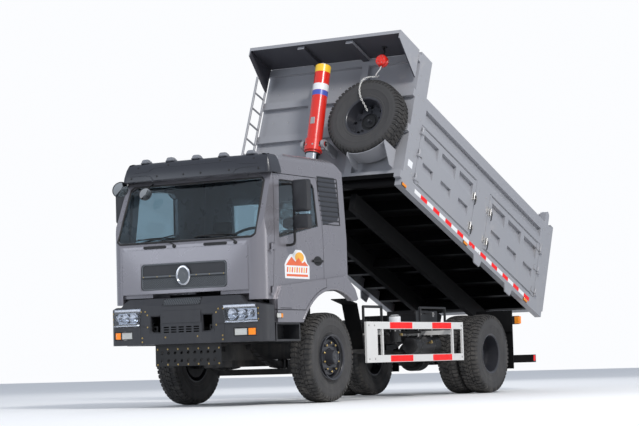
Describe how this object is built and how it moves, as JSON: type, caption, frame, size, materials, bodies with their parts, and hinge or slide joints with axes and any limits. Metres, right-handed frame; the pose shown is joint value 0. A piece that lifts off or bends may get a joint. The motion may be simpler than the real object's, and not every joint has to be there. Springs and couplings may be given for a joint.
{
  "type": "dump truck",
  "caption": "Two-axle tipping truck with a tilting cab, steered front wheels, twin rear wheels, a high-sided bed with side doors and tailgate, and a telescopic lifting cylinder.",
  "frame": {"origin": "on the ground under the middle of the truck's bounding box, as it stands in the picture with the bed raised", "axes": "front faces -Y, driver's side +X, up +Z"},
  "size_m": [2.66, 7.9712, 4.626],
  "materials": {
    "cab_grey": "gloss",
    "bed_grey": "satin",
    "chassis_grey": "satin",
    "dark_plastic": "matte",
    "bumper_grey": "matte",
    "lamp_lens": "gloss",
    "tyre_rubber": "matte",
    "rim_dark": "satin",
    "glass": "gloss",
    "seat_cloth": "matte",
    "cast_dark": "matte",
    "tank_metal": "satin",
    "guard_white": "gloss",
    "lift_red": "gloss",
    "rod_chrome": "polished",
    "black_metal": "satin",
    "carrier_grey": "satin"
  },
  "bodies": {
    "chassis": {"chassis_frame": "chassis_grey", "front_bumper": "bumper_grey", "vehicle_lamps": "lamp_lens", "guard_plate": "black_metal", "engine": "cast_dark", "radiator": "black_metal", "side_guards": "guard_white", "side_equipment": "black_metal", "fuel_tank": "tank_metal", "mudguards": "dark_plastic", "rear_bar": "black_metal", "front_axle": "chassis_grey", "rear_axle": "chassis_grey", "leaf_springs": "black_metal"},
    "knuckle_left": {"knuckle_left": "chassis_grey"},
    "knuckle_right": {"knuckle_right": "chassis_grey"},
    "wheel_front_left": {"tyre_front_left": "tyre_rubber", "rim_front_left": "rim_dark"},
    "wheel_front_right": {"tyre_front_right": "tyre_rubber", "rim_front_right": "rim_dark"},
    "wheels_rear_left": {"tyres_rear_left": "tyre_rubber", "rims_rear_left": "rim_dark"},
    "wheels_rear_right": {"tyres_rear_right": "tyre_rubber", "rims_rear_right": "rim_dark"},
    "cab": {"cab_shell": "cab_grey", "front_lid": "cab_grey", "grille": "dark_plastic", "cab_glass": "glass", "sun_visor": "dark_plastic", "side_louvres": "dark_plastic", "cab_steps": "dark_plastic", "seats": "seat_cloth", "dashboard": "dark_plastic", "wipers": "black_metal", "front_mirrors": "dark_plastic"},
    "cab_door_left": {"door_left": "cab_grey", "door_glass_left": "glass", "mirror_left": "dark_plastic"},
    "cab_door_right": {"door_right": "cab_grey", "door_glass_right": "glass", "mirror_right": "dark_plastic"},
    "bed": {"bed_tub": "bed_grey", "bed_beams": "chassis_grey", "canopy": "chassis_grey", "ladder": "bed_grey", "spare_carrier": "carrier_grey", "spare_tyre": "tyre_rubber", "spare_rim": "rim_dark"},
    "bed_door_front_left": {"side_door_front_left": "bed_grey"},
    "bed_door_front_right": {"side_door_front_right": "bed_grey"},
    "bed_door_rear_left": {"side_door_rear_left": "bed_grey"},
    "bed_door_rear_right": {"side_door_rear_right": "bed_grey"},
    "tailgate": {"tailgate": "bed_grey"},
    "lift_cover": {"cylinder_cover": "lift_red"},
    "lift_sleeve_1": {"cylinder_sleeve_1": "rod_chrome"},
    "lift_sleeve_2": {"cylinder_sleeve_2": "rod_chrome"},
    "lift_sleeve_3": {"cylinder_sleeve_3": "rod_chrome"},
    "lift_rod": {"cylinder_rod": "rod_chrome"}
  },
  "joints": [
    {"name": "steer_left", "type": "hinge", "parent": "chassis", "child": "knuckle_left", "pos_m": [0.78, -2.47, 0.525], "axis": [0, 0, 1], "range_deg": [-35, 35]},
    {"name": "steer_right", "type": "hinge", "parent": "chassis", "child": "knuckle_right", "pos_m": [-0.78, -2.47, 0.525], "axis": [0, 0, 1], "range_deg": [-35.5, 35.5]},
    {"name": "spin_front_left", "type": "hinge", "parent": "knuckle_left", "child": "wheel_front_left", "pos_m": [0.9375, -2.47, 0.525], "axis": [1, 0, 0], "continuous": true},
    {"name": "spin_front_right", "type": "hinge", "parent": "knuckle_right", "child": "wheel_front_right", "pos_m": [-0.9375, -2.47, 0.525], "axis": [1, 0, 0], "continuous": true},
    {"name": "spin_rear_left", "type": "hinge", "parent": "chassis", "child": "wheels_rear_left", "pos_m": [0.8905, 1.63, 0.525], "axis": [1, 0, 0], "continuous": true},
    {"name": "spin_rear_right", "type": "hinge", "parent": "chassis", "child": "wheels_rear_right", "pos_m": [-0.8905, 1.63, 0.525], "axis": [1, 0, 0], "continuous": true},
    {"name": "cab_tilt", "type": "hinge", "parent": "chassis", "child": "cab", "pos_m": [0, -3.89, 1], "axis": [1, 0, 0], "range_deg": [0, 45]},
    {"name": "cab_door_left_swing", "type": "hinge", "parent": "cab", "child": "cab_door_left", "pos_m": [1.042, -3.692, 1.3], "axis": [0, 0, -1], "range_deg": [0, 70]},
    {"name": "cab_door_right_swing", "type": "hinge", "parent": "cab", "child": "cab_door_right", "pos_m": [-1.042, -3.692, 1.3], "axis": [0, 0, 1], "range_deg": [0, 70]},
    {"name": "bed_tilt", "type": "hinge", "parent": "chassis", "child": "bed", "pos_m": [0, 2.943, 0.966], "axis": [-1, 0, 0], "range_deg": [-21.74, 26.26]},
    {"name": "tailgate_swing", "type": "hinge", "parent": "bed", "child": "tailgate", "pos_m": [0, 3.7083, 2.48024], "axis": [1, 0, 0], "range_deg": [0, 90]},
    {"name": "bed_door_front_left_swing", "type": "hinge", "parent": "bed", "child": "bed_door_front_left", "pos_m": [1.152, -0.24487, 3.07691], "axis": [0, -0.3704, -0.9289], "range_deg": [0, 90]},
    {"name": "bed_door_front_right_swing", "type": "hinge", "parent": "bed", "child": "bed_door_front_right", "pos_m": [-1.152, -0.24487, 3.07691], "axis": [0, 0.3704, 0.9289], "range_deg": [0, 90]},
    {"name": "bed_door_rear_left_swing", "type": "hinge", "parent": "bed", "child": "bed_door_rear_left", "pos_m": [1.152, 3.25792, 1.68015], "axis": [0, 0.3704, 0.9289], "range_deg": [0, 90]},
    {"name": "bed_door_rear_right_swing", "type": "hinge", "parent": "bed", "child": "bed_door_rear_right", "pos_m": [-1.152, 3.25792, 1.68015], "axis": [0, -0.3704, -0.9289], "range_deg": [0, 90]},
    {"name": "lift_trunnion", "type": "hinge", "parent": "bed", "child": "lift_cover", "pos_m": [-0.04, -0.8569, 3.23484], "axis": [-1, 0, 0], "range_deg": [-13.07, 10.85]},
    {"name": "lift_stage_1", "type": "slide", "parent": "lift_cover", "child": "lift_sleeve_1", "axis": [0, -0.276, -0.9611], "range_m": [-0.4023, 0.4855]},
    {"name": "lift_stage_2", "type": "slide", "parent": "lift_sleeve_1", "child": "lift_sleeve_2", "axis": [0, -0.276, -0.9611], "range_m": [-0.4023, 0.4855]},
    {"name": "lift_stage_3", "type": "slide", "parent": "lift_sleeve_2", "child": "lift_sleeve_3", "axis": [0, -0.276, -0.9611], "range_m": [-0.4023, 0.4855]},
    {"name": "lift_stage_4", "type": "slide", "parent": "lift_sleeve_3", "child": "lift_rod", "axis": [0, -0.276, -0.9611], "range_m": [-0.4023, 0.4855]}
  ],
  "couplings": [
    {"joint": "steer_right", "follows": "steer_left", "ratio": 1},
    {"joint": "lift_trunnion", "follows": "bed_tilt", "ratio": -0.49},
    {"joint": "lift_stage_1", "follows": "bed_tilt", "m_per_rad": 1.055},
    {"joint": "lift_stage_2", "follows": "bed_tilt", "m_per_rad": 1.055},
    {"joint": "lift_stage_3", "follows": "bed_tilt", "m_per_rad": 1.055},
    {"joint": "lift_stage_4", "follows": "bed_tilt", "m_per_rad": 1.055}
  ]
}
